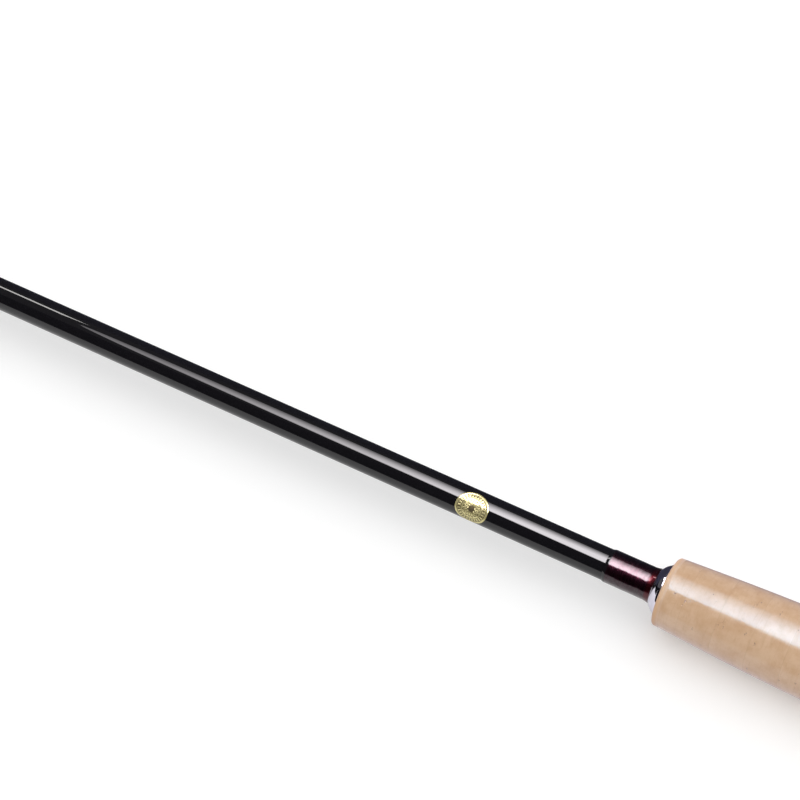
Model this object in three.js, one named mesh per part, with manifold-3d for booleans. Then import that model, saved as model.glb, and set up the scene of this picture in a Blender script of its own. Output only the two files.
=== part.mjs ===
// A telescopic tenkara rod of seven sections, collapsed for carrying, in millimetres with +Z up.
// It lies along X on its cork grip, with the butt cap at the +X end and the tip plug at the -X end.
// Every piece is round about the rod's axis. A station is a distance along that axis, counted
// from the rear end of the handle blank towards the tip.

import * as THREE from "three";
import { mergeVertices } from "three/addons/utils/BufferGeometryUtils.js";
import Module from "manifold-3d";

const wasm = await Module();
wasm.setup();

// Facets round the carbon tubes, round the thicker pieces of the grip, and round thin pieces
const tubeFacets = 24;
const gripFacets = 32;
const thinFacets = 12;

// Fits
const glueLine = 0.12; // between a glued sleeve or ring and what it is glued to
const thinGlueLine = 0.05; // under the thread windings and inside the lilian
const lockClearance = 0.04; // left between two tapers when a section is drawn out to its stop
const seatGap = 0.1; // under a cap, a plug or a rubber ring that is pushed home
const restGap = 0.3; // between loose pieces that rest on each other
const threadClearance = 0.15; // between the cap's threaded stem and its socket
const overrun = 1; // how far a cutter or a joined piece runs past the face that it meets
const weld = 0.0005; // vertices closer than this are one

// Handle blank: the outermost carbon tube, which runs through the whole grip
const blankLength = 545;
const blankButtDiameter = 11.58;
const blankNarrowingShare = 0.0933; // of its rear diameter, lost on the way to its mouth
const blankWall = 0.55;
const blankMouthChamfer = 0.2;

// Tubes nested in the handle blank, thickest first. The narrowing is the share of its rear diameter that
// a tube loses on the way to its mouth. The overlap stays inside its neighbour when it is drawn out.
const tubes = [
  { name: "section_6", wall: 0.42, overlap: 55, narrowingShare: 0.098 },
  { name: "section_5", wall: 0.38, overlap: 52, narrowingShare: 0.117 },
  { name: "section_4", wall: 0.34, overlap: 50, narrowingShare: 0.15 },
  { name: "section_3", wall: 0.3, overlap: 48, narrowingShare: 0.204 },
  { name: "section_2", wall: 0.26, overlap: 45, narrowingShare: 0.3 },
];
const tubeStep = 1.5; // each tube stops this much short of the one around it
const tubeEndChamfer = 0.1;
const mouthBandLength = 9; // the thickened band of carbon at each tube's mouth
const mouthBandThickness = 0.06;
const mouthBandRun = 1.5; // the band fades into the tube over this length

// Tip section: a solid carbon rod
const tipNarrowingShare = 0.48;
const tipOverlap = 42;

// Lilian: the stiffened braid that the line is tied to, glued over the tip's end
const lilianDiameter = 1.3;
const lilianGluedLength = 8;
const lilianFreeLength = 14.5; // past the end of the tip
const lilianSetback = 0.5; // from the mouth of section 2 to the braid, when the rod is closed
const lilianKnotDiameter = 1.9;
const lilianKnotLength = 2.4;

// Cork grip: rings glued face to face on the blank and turned to a double swell
const corkRingCount = 21;
const corkRingThickness = 12.7;
const frontCorkRingThickness = 9; // faced off when the grip is turned
const gripFrontDiameter = 24.2;
const gripFrontSwellDiameter = 29.8;
const gripFrontSwellFromFront = 70;
const gripWaistDiameter = 23.6;
const gripWaistFromFront = 148;
const gripRearSwellDiameter = 29.8;
const gripRearSwellFromFront = 220;
const gripRearDiameter = 22.8;
const gripFrontEdge = 0.8; // radius of the rounded front edge
const gripRearEdge = 1.8;
const edgeSteps = 3;

// Winding check: the bright ring that closes the front of the grip
const checkLength = 3.9;
const checkFrontDiameter = 12.7;
const checkRearDiameter = 18.4;
const checkLip = 0.4; // straight band at its foot, against the cork
const checkBulge = 0.35; // how far its face stands out of a straight cone
const checkSteps = 5;

// Windings: lacquered thread in front of the check, and round the mouth of the handle blank
const windingThickness = 0.36;
const windingToeThickness = 0.08;
const windingLength = 17.7;
const windingShoulder = 1.8; // the lacquer runs down to the blank over this length
const windingShoulderSteps = 2;
const windingFlareThickness = 0.47; // the lacquer climbs this much against the check
const windingFlareLength = 2.4;
const mouthWindingLength = 8;
const mouthWindingSetback = 0.6;

// Butt ferrule: the threaded socket glued over the blank's rear end
const ferruleOverBlank = 12;
const ferruleBehindBlank = 7.6;
const ferruleDiameter = 14.2;
const ferruleThreadMargin = 0.36; // its bore is this much wider than the blank's, so the sections pass
const ferruleFlangeDiameter = 19;
const ferruleFlangeThickness = 1.5;
const ferruleFlangeEdge = 0.4;

// Rubber rings of round section
const capRingSection = 1.1;
const plugRingSection = 0.85;
const ringFacets = 8;

// Butt cap: screwed into the ferrule, with a knurled head, a coin slot and a drain hole
const capThreadPitch = 1;
const capThreadTurns = 6;
const capHeadDiameter = 18.4;
const capHeadThickness = 4.8;
const capHeadChamfer = 0.8;
const capKnurlCount = 40;
const capKnurlDepth = 0.45;
const capSlotWidth = 1.8;
const capSlotLength = 12.5;
const capSlotDepth = 1.8;
const capDrainDiameter = 2.2;
const capRecessDepth = 2.2;
const capRimWall = 0.8;

// Section cushion: the rubber disc in the cap's stem, on which the closed sections stand
const cushionThickness = 2.6;

// Tip plug: pushed into the mouth of the handle blank, and bored so that the lilian can stand in it
const plugStemLength = 12;
const plugStemClearance = 0.4; // round the stem, for the rubber rings to take up
const plugStemGap = 1.2; // left between the plug's stem and the nested sections
const plugStemChamfer = 0.5;
const plugBoreMargin = 0.75; // room round the lilian's knot
const plugBoreEndMargin = 2; // room past the lilian's end
const plugHeadDiameter = 13.2;
const plugHeadLength = 11;
const plugHeadEdge = 0.5;
const plugNoseDiameter = 8.4;
const plugNoseLength = 2.6;
const plugNoseSteps = 4;
const plugGrooveCount = 3; // finger grooves round the head
const plugGroovePitch = 1.7;
const plugGrooveWidth = 0.7;
const plugGrooveDepth = 0.4;
const plugGrooveSetback = 2.2;
const plugRingCount = 2;
const plugRingSetback = 2.8; // from the plug's shoulder to the middle of the first rubber ring
const plugRingPitch = 5.4;
const plugRingClearance = 0.03;

// Finishes
const carbon = new THREE.MeshStandardMaterial({ color: 0x0b0b0d, roughness: 0.12, metalness: 0 });
const lacquer = new THREE.MeshStandardMaterial({ color: 0x2c0508, roughness: 0.15, metalness: 0 });
const chrome = new THREE.MeshStandardMaterial({ color: 0xdfe0e6, roughness: 0.08, metalness: 1 });
const cork = new THREE.MeshStandardMaterial({ color: 0xc9a27c, roughness: 0.42, metalness: 0 });
const anodised = new THREE.MeshStandardMaterial({ color: 0x15161a, roughness: 0.3, metalness: 1 });
const rubber = new THREE.MeshStandardMaterial({ color: 0x111111, roughness: 0.7, metalness: 0 });
const moulded = new THREE.MeshStandardMaterial({ color: 0x121214, roughness: 0.35, metalness: 0 });
const braid = new THREE.MeshStandardMaterial({ color: 0xb0182a, roughness: 0.85, metalness: 0 });

// Stations that several pieces share
const gripRear = -ferruleBehindBlank;
const gripLength = frontCorkRingThickness + (corkRingCount - 1) * corkRingThickness;
const gripFront = gripRear + gripLength;
const checkFront = gripFront + checkLength;
const windingFront = checkFront + windingLength;
const ferruleRear = gripRear - ferruleFlangeThickness;
const capHeadFront = ferruleRear - seatGap;
const capRear = capHeadFront - capHeadThickness;
const capGrooveLength = capRingSection + seatGap;
const capStemFront = capHeadFront + capGrooveLength + capThreadTurns * capThreadPitch;
const cushionFront = capStemFront - capRecessDepth + cushionThickness;
const nestRear = cushionFront + restGap;
const plugShoulder = blankLength + seatGap;
const plugStemRear = plugShoulder - plugStemLength;
const plugFront = plugShoulder + plugHeadLength;
const nestFront = plugStemRear - plugStemGap;

// Radii of the handle blank at a station
const blankOuter = (station) => (blankButtDiameter / 2) * (1 - (blankNarrowingShare * station) / blankLength);
const blankBore = (station) => blankOuter(station) - blankWall;

// Radii of the ferrule's thread, the cap's stem, its recess and its groove, and the rubber ring in the groove
const threadBoreRadius = blankBore(0) + ferruleThreadMargin;
const capStemRadius = threadBoreRadius - threadClearance;
const capRecessRadius = capStemRadius - capRimWall;
const capRingInner = capStemRadius - capRingSection / 2;
const capRingOuter = capRingInner + capRingSection;
const capGrooveRadius = capRingInner - seatGap;

// Radii of the plug's stem and its rubber rings, and of the grooves that they sit in
const plugStemRadius = blankBore(blankLength) - plugStemClearance;
const plugRingOuter = blankBore(blankLength) - plugRingClearance;
const plugRingInner = plugRingOuter - plugRingSection;
const plugRingGroove = plugRingInner - thinGlueLine;

// A point of an outline: a radius about the rod's axis, at a station
const at = (radius, station) => new THREE.Vector2(radius, station);

// A point above the blank's tapering surface
const above = (station, height) => at(blankOuter(station) + height, station);

// Turns an outline about the rod's axis. It runs towards the tip outside, and back inside.
function turned(outline, facets) {
  const geometry = new THREE.LatheGeometry(outline, facets, Math.PI / facets);
  return geometry.rotateZ(Math.PI / 2);
}

// The same for a piece with a hole all the way through, whose outline closes on itself
function turnedRing(outline, facets) {
  return turned([...outline, outline[0].clone()], facets);
}

// A round pin on the rod's axis, to join or to cut with
function pin(radius, rear, front, facets) {
  return turned([at(0, rear), at(radius, rear), at(radius, front), at(0, front)], facets);
}

function piece(name, geometry, material) {
  const mesh = new THREE.Mesh(geometry, material);
  mesh.name = name;
  return mesh;
}

// A quarter of an ellipse between two corners, which sets out along the rod or across it
function quarter(start, end, steps, alongFirst) {
  const points = [];
  for (let i = 0; i <= steps; i++) {
    const angle = (Math.PI / 2) * (i / steps);
    const early = Math.sin(angle);
    const late = 1 - Math.cos(angle);
    const across = alongFirst ? late : early;
    const along = alongFirst ? early : late;
    points.push(at(start.x + (end.x - start.x) * across, start.y + (end.y - start.y) * along));
  }
  return points;
}

// An arc between two corners, which stands out of the straight line between them by a bulge
function bulged(start, end, bulge, steps) {
  const along = end.clone().sub(start);
  const half = along.length() / 2;
  const radius = (half * half + bulge * bulge) / (2 * bulge);
  const sweep = Math.asin(half / radius);
  along.normalize();
  const outward = at(along.y, -along.x);
  const centre = start.clone().addScaledVector(along, half).addScaledVector(outward, bulge - radius);
  const points = [];
  for (let i = 0; i <= steps; i++) {
    const angle = sweep * ((2 * i) / steps - 1);
    const point = centre.clone().addScaledVector(outward, radius * Math.cos(angle));
    points.push(point.addScaledVector(along, radius * Math.sin(angle)));
  }
  return points;
}

// From a to b along half a cosine wave, level at both ends
function eased(a, b, share) {
  return a + ((b - a) * (1 - Math.cos(Math.PI * share))) / 2;
}

// Closed geometry to a solid that can be cut and joined, and back
function solidOf(geometry) {
  const bare = geometry.clone();
  bare.deleteAttribute("normal");
  bare.deleteAttribute("uv");
  const merged = mergeVertices(bare, weld);
  const mesh = new wasm.Mesh({
    numProp: 3,
    vertProperties: merged.attributes.position.array,
    triVerts: new Uint32Array(merged.index.array),
  });
  return new wasm.Manifold(mesh);
}

function geometryOf(solid) {
  const mesh = solid.getMesh();
  const geometry = new THREE.BufferGeometry();
  geometry.setAttribute("position", new THREE.BufferAttribute(mesh.vertProperties, mesh.numProp));
  geometry.setIndex(new THREE.BufferAttribute(mesh.triVerts, 1));
  geometry.computeVertexNormals();
  return geometry;
}

function handleBlank() {
  const chamferRear = blankLength - blankMouthChamfer;
  const outline = [
    at(blankOuter(0), 0),
    at(blankOuter(chamferRear), chamferRear),
    at(blankOuter(blankLength) - blankMouthChamfer, blankLength),
    at(blankBore(blankLength), blankLength),
    at(blankBore(0), 0),
  ];
  return piece("handle_blank", turnedRing(outline, tubeFacets), carbon);
}

// The outer radius, at any station, of a section that wedges in the mouth of the one outside it when it is
// drawn out. Its rear end or the mouth is the tight spot, whichever the two tapers make narrower.
function wedged(outside, front, narrowingShare, overlap) {
  const lengthShare = (station) => (station - nestRear) / (front - nestRear);
  const leftAtTheMouth = 1 - narrowingShare * lengthShare(nestRear + overlap);
  const atItsRear = outside.bore(outside.front - overlap) - lockClearance;
  const atTheMouth = (outside.bore(outside.front) - lockClearance) / leftAtTheMouth;
  const rearRadius = Math.min(atItsRear, atTheMouth);
  return (station) => rearRadius * (1 - narrowingShare * lengthShare(station));
}

function nestedTube(spec, outside, front) {
  const outer = wedged(outside, front, spec.narrowingShare, spec.overlap);
  const bore = (station) => outer(station) - spec.wall;
  const bandRear = front - mouthBandLength;
  const bandFront = front - tubeEndChamfer;
  const outline = [
    at(outer(nestRear) - tubeEndChamfer, nestRear),
    at(outer(nestRear), nestRear + tubeEndChamfer),
    at(outer(bandRear), bandRear),
    at(outer(bandRear) + mouthBandThickness, bandRear + mouthBandRun),
    at(outer(bandFront) + mouthBandThickness, bandFront),
    at(outer(front), front),
    at(bore(front), front),
    at(bore(nestRear), nestRear),
  ];
  return { mesh: piece(spec.name, turnedRing(outline, tubeFacets), carbon), bore, front };
}

function tipSection(outside) {
  const front = outside.front + lilianSetback + lilianGluedLength;
  const outer = wedged(outside, front, tipNarrowingShare, tipOverlap);
  const outline = [
    at(0, nestRear),
    at(outer(nestRear) - tubeEndChamfer, nestRear),
    at(outer(nestRear), nestRear + tubeEndChamfer),
    at(outer(front), front),
    at(0, front),
  ];
  return { mesh: piece("tip_section", turned(outline, thinFacets), carbon), outer, front };
}

function lilian(tip) {
  const radius = lilianDiameter / 2;
  const foot = tip.front - lilianGluedLength;
  const end = tip.front + lilianFreeLength;
  const socketRadius = tip.outer(foot) + thinGlueLine;
  const socketEnd = tip.front + thinGlueLine;
  const outline = [
    at(0, socketEnd),
    at(socketRadius, socketEnd),
    at(socketRadius, foot),
    at(radius, foot),
    at(radius, end - lilianKnotLength),
    at(lilianKnotDiameter / 2, end - lilianKnotLength / 2),
    at(radius, end),
    at(0, end),
  ];
  return { mesh: piece("lilian", turned(outline, thinFacets), braid), end };
}

// The turned outline of the grip: its radius at a distance behind its front face
function gripRadius(fromFront) {
  const front = gripFrontDiameter / 2;
  const frontSwell = gripFrontSwellDiameter / 2;
  const waist = gripWaistDiameter / 2;
  const rearSwell = gripRearSwellDiameter / 2;
  const rear = gripRearDiameter / 2;
  if (fromFront < gripFrontSwellFromFront) {
    const share = fromFront / gripFrontSwellFromFront;
    return front + (frontSwell - front) * Math.sin((Math.PI / 2) * share);
  }
  if (fromFront < gripWaistFromFront) {
    const run = gripWaistFromFront - gripFrontSwellFromFront;
    return eased(frontSwell, waist, (fromFront - gripFrontSwellFromFront) / run);
  }
  if (fromFront < gripRearSwellFromFront) {
    const run = gripRearSwellFromFront - gripWaistFromFront;
    return eased(waist, rearSwell, (fromFront - gripWaistFromFront) / run);
  }
  const share = (fromFront - gripRearSwellFromFront) / (gripLength - gripRearSwellFromFront);
  return rear + (rearSwell - rear) * Math.cos((Math.PI / 2) * share);
}

const corkOuter = (station) => gripRadius(gripFront - station);

// Where one cork ring ends and the next begins. Joint 0 is the grip's front face.
function corkJoint(index) {
  if (index === 0) return gripFront;
  return gripFront - frontCorkRingThickness - (index - 1) * corkRingThickness;
}

// The bore of a ring, with a step in the ring where the ferrule ends
function corkBore(rear, front) {
  const overFerrule = ferruleDiameter / 2 + glueLine;
  const step = ferruleOverBlank + glueLine;
  const wide = at(overFerrule, rear);
  if (front <= step) return [at(overFerrule, front), wide];
  if (rear >= step) return [above(front, glueLine), above(rear, glueLine)];
  return [above(front, glueLine), above(step, glueLine), at(overFerrule, step), wide];
}

function corkRing(index) {
  const front = corkJoint(index);
  const rear = corkJoint(index + 1);
  const outline = [];
  if (index === corkRingCount - 1) {
    const face = at(corkOuter(rear) - gripRearEdge, rear);
    const edge = at(corkOuter(rear + gripRearEdge), rear + gripRearEdge);
    outline.push(...quarter(face, edge, edgeSteps, false));
  } else {
    outline.push(at(corkOuter(rear), rear));
  }
  if (index === 0) {
    const edge = at(corkOuter(front - gripFrontEdge), front - gripFrontEdge);
    const face = at(corkOuter(front) - gripFrontEdge, front);
    outline.push(...quarter(edge, face, edgeSteps, true));
  } else {
    outline.push(at(corkOuter(front), front));
  }
  outline.push(...corkBore(rear, front));
  const number = String(index + 1).padStart(2, "0");
  return piece(`cork_ring_${number}`, turnedRing(outline, gripFacets), cork);
}

function windingCheck() {
  const foot = at(checkRearDiameter / 2, gripFront + checkLip);
  const nose = at(checkFrontDiameter / 2, checkFront);
  const outline = [
    at(checkRearDiameter / 2, gripFront),
    ...bulged(foot, nose, checkBulge, checkSteps),
    above(checkFront, glueLine),
    above(gripFront, glueLine),
  ];
  return piece("winding_check", turnedRing(outline, gripFacets), chrome);
}

// The rounded front end of a winding
function windingFrontEnd(front) {
  const shoulder = above(front - windingShoulder, windingThickness);
  return quarter(shoulder, above(front, windingToeThickness), windingShoulderSteps, true);
}

function gripWinding() {
  const outline = [
    above(checkFront, windingThickness + windingFlareThickness),
    above(checkFront + windingFlareLength / 2, windingThickness + windingFlareThickness / 4),
    above(checkFront + windingFlareLength, windingThickness),
    ...windingFrontEnd(windingFront),
    above(windingFront, thinGlueLine),
    above(checkFront, thinGlueLine),
  ];
  return piece("grip_winding", turnedRing(outline, tubeFacets), lacquer);
}

function mouthWinding() {
  const front = blankLength - mouthWindingSetback;
  const rear = front - mouthWindingLength;
  const outline = [
    above(rear, windingToeThickness),
    above(rear + windingShoulder, windingThickness),
    ...windingFrontEnd(front),
    above(front, thinGlueLine),
    above(rear, thinGlueLine),
  ];
  return piece("mouth_winding", turnedRing(outline, tubeFacets), lacquer);
}

function buttFerrule() {
  const sleeve = ferruleDiameter / 2;
  const flange = ferruleFlangeDiameter / 2;
  const overBlank = blankOuter(0) + glueLine;
  const counterbore = capRingOuter + restGap;
  const counterboreFront = ferruleRear + capRingSection + restGap;
  const outline = [
    at(flange - ferruleFlangeEdge, ferruleRear),
    at(flange, ferruleRear + ferruleFlangeEdge),
    at(flange, gripRear),
    at(sleeve, gripRear),
    at(sleeve, ferruleOverBlank),
    at(overBlank, ferruleOverBlank),
    at(overBlank, -glueLine),
    at(threadBoreRadius, -glueLine),
    at(threadBoreRadius, counterboreFront),
    at(counterbore, counterboreFront),
    at(counterbore, ferruleRear),
  ];
  return piece("butt_ferrule", turnedRing(outline, gripFacets), anodised);
}

// A bar along the rod's axis whose section is a star with one point for each knurl
function knurledBar(radius, rear, front) {
  const star = new THREE.Shape();
  star.moveTo(radius, 0);
  for (let i = 1; i < 2 * capKnurlCount; i++) {
    const angle = (Math.PI * i) / capKnurlCount;
    const reach = i % 2 === 0 ? radius : radius - capKnurlDepth;
    star.lineTo(reach * Math.cos(angle), reach * Math.sin(angle));
  }
  star.closePath();
  const bar = new THREE.ExtrudeGeometry(star, { depth: front - rear, bevelEnabled: false });
  return bar.rotateY(-Math.PI / 2).translate(-rear, 0, 0);
}

function buttCap() {
  const head = capHeadDiameter / 2;
  const headOutline = [
    at(0, capRear),
    at(head - capHeadChamfer, capRear),
    at(head, capRear + capHeadChamfer),
    at(head, capHeadFront - capHeadChamfer / 2),
    at(head - capHeadChamfer / 2, capHeadFront),
    at(0, capHeadFront),
  ];
  const stemOutline = [
    at(0, capHeadFront - overrun),
    at(capGrooveRadius, capHeadFront - overrun),
    at(capGrooveRadius, capHeadFront + capGrooveLength),
    at(capStemRadius, capHeadFront + capGrooveLength),
    at(capStemRadius, capStemFront - capThreadPitch / 2),
    at(capStemRadius - capThreadPitch / 2, capStemFront),
    at(0, capStemFront),
  ];
  const recess = pin(capRecessRadius, capStemFront - capRecessDepth, capStemFront + overrun, gripFacets);
  const drain = pin(capDrainDiameter / 2, capRear - overrun, capStemFront + overrun, thinFacets);
  const slot = new THREE.BoxGeometry(2 * capSlotDepth, capSlotLength, capSlotWidth);
  slot.translate(-capRear, 0, 0);
  const solid = solidOf(knurledBar(head, capRear, capHeadFront))
    .intersect(solidOf(turned(headOutline, 2 * gripFacets)))
    .add(solidOf(turned(stemOutline, gripFacets)))
    .subtract(solidOf(recess))
    .subtract(solidOf(drain))
    .subtract(solidOf(slot));
  return piece("butt_cap", geometryOf(solid), anodised);
}

function rubberRing(name, inner, outer, middle) {
  const half = (outer - inner) / 2;
  const outline = [];
  for (let i = 0; i < ringFacets; i++) {
    const angle = (2 * Math.PI * i) / ringFacets;
    outline.push(at(inner + half + half * Math.cos(angle), middle + half * Math.sin(angle)));
  }
  return piece(name, turnedRing(outline, tubeFacets), rubber);
}

function sectionCushion() {
  const outer = capRecessRadius - seatGap;
  const hole = capDrainDiameter / 2;
  const rear = cushionFront - cushionThickness;
  const outline = [at(outer, rear), at(outer, cushionFront), at(hole, cushionFront), at(hole, rear)];
  return piece("section_cushion", turnedRing(outline, tubeFacets), rubber);
}

const plugRingMiddle = (index) => plugShoulder - plugRingSetback - index * plugRingPitch;

function tipPlug(lilianEnd) {
  const head = plugHeadDiameter / 2;
  const bore = lilianKnotDiameter / 2 + plugBoreMargin;
  const boreEnd = lilianEnd + plugBoreEndMargin;
  const outline = [
    at(0, boreEnd),
    at(bore, boreEnd),
    at(bore, plugStemRear),
    at(plugStemRadius - plugStemChamfer, plugStemRear),
    at(plugStemRadius, plugStemRear + plugStemChamfer),
  ];
  for (let i = plugRingCount - 1; i >= 0; i--) {
    const rear = plugRingMiddle(i) - plugRingSection / 2 - seatGap;
    const front = plugRingMiddle(i) + plugRingSection / 2 + seatGap;
    outline.push(at(plugStemRadius, rear), at(plugRingGroove, rear));
    outline.push(at(plugRingGroove, front), at(plugStemRadius, front));
  }
  outline.push(at(plugStemRadius, plugShoulder));
  outline.push(at(head - plugHeadEdge, plugShoulder));
  outline.push(at(head, plugShoulder + plugHeadEdge));
  for (let i = 0; i < plugGrooveCount; i++) {
    const rear = plugShoulder + plugGrooveSetback + i * plugGroovePitch;
    outline.push(at(head, rear));
    outline.push(at(head - plugGrooveDepth, rear + plugGrooveWidth / 2));
    outline.push(at(head, rear + plugGrooveWidth));
  }
  const noseRear = at(head, plugFront - plugNoseLength);
  outline.push(...quarter(noseRear, at(plugNoseDiameter / 2, plugFront), plugNoseSteps, true));
  outline.push(at(0, plugFront));
  return piece("tip_plug", turned(outline, tubeFacets), moulded);
}

// Handle, the group that everything else slides in or screws to
const handle = new THREE.Group();
handle.add(handleBlank(), gripWinding(), mouthWinding(), windingCheck(), buttFerrule());
for (let i = 0; i < corkRingCount; i++) handle.add(corkRing(i));

// Butt cap with the rubber in it
const cap = new THREE.Group();
const capRingMiddle = capHeadFront + capGrooveLength / 2;
cap.add(buttCap(), sectionCushion(), rubberRing("cap_o_ring", capRingInner, capRingOuter, capRingMiddle));
handle.add(cap);

// Sections, each in a group inside the group of the one that it slides in
let carrier = handle;
let outside = { bore: blankBore, front: blankLength };
tubes.forEach((spec, index) => {
  outside = nestedTube(spec, outside, nestFront - index * tubeStep);
  const group = new THREE.Group();
  group.add(outside.mesh);
  carrier.add(group);
  carrier = group;
});
const tip = tipSection(outside);
const braidedEnd = lilian(tip);
const tipGroup = new THREE.Group();
tipGroup.add(tip.mesh, braidedEnd.mesh);
carrier.add(tipGroup);

// Tip plug with its rubber rings, ahead of the tip
const plug = new THREE.Group();
plug.add(tipPlug(braidedEnd.end));
for (let i = 0; i < plugRingCount; i++) {
  plug.add(rubberRing(`plug_o_ring_${i + 1}`, plugRingInner, plugRingOuter, plugRingMiddle(i)));
}
tipGroup.add(plug);

// The origin is on the ground under the middle of the closed rod, which rests on a flat of the grip's facets
const corkRadii = Array.from({ length: corkRingCount + 1 }, (_, index) => corkOuter(corkJoint(index)));
const axisHeight = Math.max(...corkRadii) * Math.cos(Math.PI / gripFacets);
handle.position.set((plugFront + capRear) / 2, 0, axisHeight);

export default handle;
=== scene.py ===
# A telescopic tenkara rod, closed for carrying: black lacquered blank, red winding, bright check
# and cork grip, with the sections nested inside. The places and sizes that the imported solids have
# are read from them.
import math
import random

import bpy
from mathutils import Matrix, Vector, noise


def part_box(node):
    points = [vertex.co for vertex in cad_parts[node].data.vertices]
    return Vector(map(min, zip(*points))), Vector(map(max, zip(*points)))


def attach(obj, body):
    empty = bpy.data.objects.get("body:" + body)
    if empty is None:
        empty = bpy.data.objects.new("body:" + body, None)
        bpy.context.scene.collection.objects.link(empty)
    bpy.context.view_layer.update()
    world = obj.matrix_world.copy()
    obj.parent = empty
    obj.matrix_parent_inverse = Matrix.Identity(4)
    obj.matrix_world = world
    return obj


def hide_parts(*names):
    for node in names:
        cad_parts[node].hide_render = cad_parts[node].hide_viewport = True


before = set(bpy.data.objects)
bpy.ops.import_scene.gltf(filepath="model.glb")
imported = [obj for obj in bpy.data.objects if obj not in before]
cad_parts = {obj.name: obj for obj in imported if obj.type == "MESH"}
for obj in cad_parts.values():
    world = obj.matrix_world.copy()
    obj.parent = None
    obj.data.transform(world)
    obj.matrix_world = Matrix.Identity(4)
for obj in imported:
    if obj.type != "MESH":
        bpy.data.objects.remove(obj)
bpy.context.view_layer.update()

# Camera: a long lens that looks down on the rod from its butt side. The middle of the grip's front
# face lies at the pixel that it has in the photograph.
mm = 0.001
azimuth = math.radians(27.56)
elevation = math.radians(57.8)
camera_distance = 1.409
focal_length = 191
sensor_width = 36
picture_pixels = 800
grip_front_pixel = (666.4, 591.0)

grip_low, grip_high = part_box("cork_ring_01")
axis_height = (grip_low.z + grip_high.z) / 2
grip_front = Vector((grip_low.x, 0, axis_height))

camera_data = bpy.data.cameras.new("camera")
camera_data.lens = focal_length
camera_data.sensor_width = sensor_width
camera = bpy.data.objects.new("camera", camera_data)
bpy.context.scene.collection.objects.link(camera)
camera.rotation_euler = (math.pi / 2 - elevation, 0, azimuth)
metres_per_pixel = camera_distance * sensor_width / focal_length / picture_pixels
right = (grip_front_pixel[0] - picture_pixels / 2) * metres_per_pixel
down = (grip_front_pixel[1] - picture_pixels / 2) * metres_per_pixel
turn = camera.rotation_euler.to_matrix()
camera.location = grip_front - turn @ Vector((right, -down, -camera_distance))
bpy.context.scene.camera = camera
bpy.context.scene.view_settings.view_transform = "Standard"


# Floor: a wide sheet of white paper. Part of its white is its own light, seen by the camera and in
# reflections but not cast on the rod, and the rest shows the rod's shadow.
class Field:
    """One output of a shader node. Python's operators on it add Math nodes."""

    def __init__(self, recipe, socket):
        self.recipe = recipe
        self.socket = socket

    def math(self, operation, *values):
        return self.recipe.node("Math", {"operation": operation}, dict(enumerate(values)))

    def __add__(self, other):
        return self.math("ADD", self, other)

    def __sub__(self, other):
        return self.math("SUBTRACT", self, other)

    def __rsub__(self, other):
        return self.math("SUBTRACT", other, self)

    def __mul__(self, other):
        return self.math("MULTIPLY", self, other)

    def __truediv__(self, other):
        return self.math("DIVIDE", self, other)

    def __pow__(self, other):
        return self.math("POWER", self, other)

    def __abs__(self):
        return self.math("ABSOLUTE", self)

    __radd__ = __add__
    __rmul__ = __mul__

    def sine(self):
        return self.math("SINE", self)

    def least(self, other):
        return self.math("MINIMUM", self, other)

    def most(self, other):
        return self.math("MAXIMUM", self, other)

    def rising(self, low, high):
        """0 below low and 1 above high, with a smooth step between. It falls where high is less."""
        settings = {"interpolation_type": "SMOOTHSTEP"}
        sockets = {"Value": self, "From Min": low, "From Max": high}
        return self.recipe.node("MapRange", settings, sockets)

    def band(self, low, high, edge):
        """1 between low and high, and 0 further than the edge outside them."""
        return self.rising(low - edge, low) * self.rising(high + edge, high)


class Recipe:
    """The nodes of a material or of the world, and the shader that they feed."""

    def __init__(self, owner):
        owner.use_nodes = True
        self.nodes = owner.node_tree.nodes
        self.links = owner.node_tree.links

    def feed(self, node, sockets):
        for key, value in sockets.items():
            if isinstance(value, Field):
                self.links.new(value.socket, node.inputs[key])
            else:
                node.inputs[key].default_value = value

    def node(self, kind, settings, sockets, output=0):
        made = self.nodes.new("ShaderNode" + kind)
        for key, value in settings.items():
            setattr(made, key, value)
        self.feed(made, sockets)
        return Field(self, made.outputs[output])

    def mixed(self, share, first, second):
        """From one colour to another as the share goes from 0 to 1. The Mix node's sockets for a
        share and two colours are 0, 6 and 7, and its output 2 gives the colour."""
        return self.node("Mix", {"data_type": "RGBA"}, {0: share, 6: first, 7: second}, 2)

    def noise(self, place, scale, detail=2.0, roughness=0.5):
        sockets = {"Vector": place, "Scale": scale, "Detail": detail, "Roughness": roughness}
        return self.node("TexNoise", {}, sockets)

    def vector(self, x, y, z):
        return self.node("CombineXYZ", {}, {"X": x, "Y": y, "Z": z})

    def part(self, vector, axis):
        return self.node("SeparateXYZ", {}, {"Vector": vector}, axis)

    def stretched(self, place, scales):
        return self.node("VectorMath", {"operation": "MULTIPLY"}, {0: place, 1: scales})

    def bump(self, height, distance):
        return self.node("Bump", {}, {"Height": height, "Distance": distance, "Strength": 1.0})

    def seen(self):
        """1 for rays from the camera and for those that a shiny or clear surface sends on."""
        kinds = ("Is Camera Ray", "Is Glossy Ray", "Is Transmission Ray")
        rays = [self.node("LightPath", {}, {}, kind) for kind in kinds]
        return (rays[0] + rays[1] + rays[2]).least(1.0)


def shaded(name, sockets):
    """A material with these values on its shader, and its recipe."""
    material = bpy.data.materials.new(name)
    recipe = Recipe(material)
    recipe.shader = recipe.nodes["Principled BSDF"]
    recipe.feed(recipe.shader, sockets)
    return material, recipe


def colour(red, green, blue):
    """A colour as a screen shows it, from 0 to 255, as the light that it stands for (sRGB)."""
    toe, slope, offset, power = 0.04045, 12.92, 0.055, 2.4
    light = []
    for shown in (red, green, blue):
        share = shown / 255
        light.append(share / slope if share <= toe else ((share + offset) / (1 + offset)) ** power)
    return (*light, 1.0)


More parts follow.
